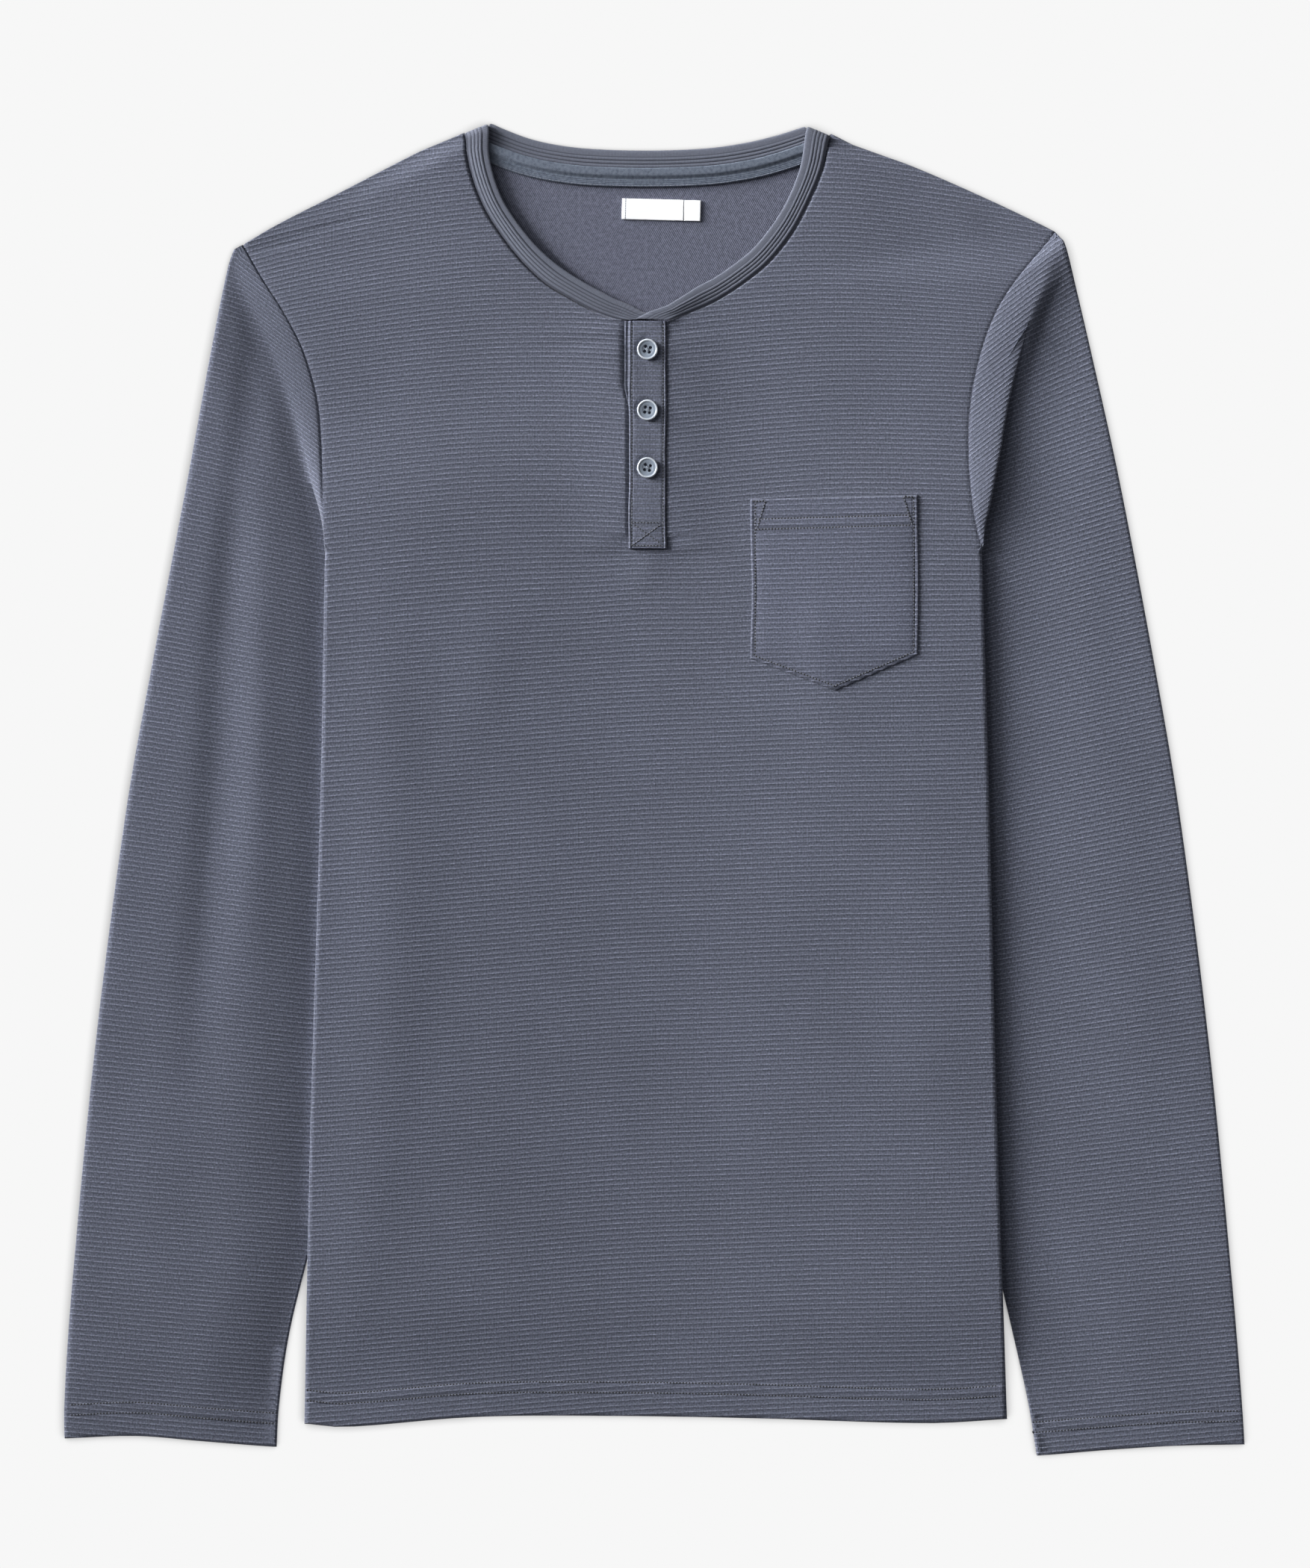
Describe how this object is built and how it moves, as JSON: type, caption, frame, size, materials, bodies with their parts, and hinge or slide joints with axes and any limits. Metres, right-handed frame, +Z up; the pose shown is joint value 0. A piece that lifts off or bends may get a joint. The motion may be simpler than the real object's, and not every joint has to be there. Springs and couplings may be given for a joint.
{
  "type": "long-sleeved henley shirt, laid flat",
  "caption": "Long-sleeved ribbed-knit shirt laid flat, with a buttoned placket, a ribbed neckband and a chest pocket.",
  "frame": {"origin": "on the surface that the shirt lies on, below the middle of its outline", "axes": "+Z up from the surface, +Y from the hem to the neck, +X towards the side with the pocket"},
  "size_m": [0.6484, 0.7321, 0.01],
  "materials": {
    "rib_jersey": "slate blue-grey cotton jersey with a fine crosswise rib",
    "rib_jersey_inside": "the same jersey's inner face, with a fine diagonal grain",
    "rib_band": "slate blue-grey rib knit with raised lengthwise ribs",
    "neck_tape": "matte cotton twill tape",
    "woven_label": "off-white woven polyester, bare",
    "button_resin": "pale grey pearly polyester resin"
  },
  "bodies": {
    "root": {"front_panel": "rib_jersey", "back_panel": "rib_jersey_inside", "sleeve_left": "rib_jersey", "sleeve_right": "rib_jersey", "neckband": "rib_band", "neck_tape": "neck_tape", "placket_under": "rib_jersey", "placket_top": "rib_jersey", "pocket": "rib_jersey", "button_1": "button_resin", "button_2": "button_resin", "button_3": "button_resin", "label": "woven_label", "size_tab": "woven_label"}
  },
  "joints": []
}
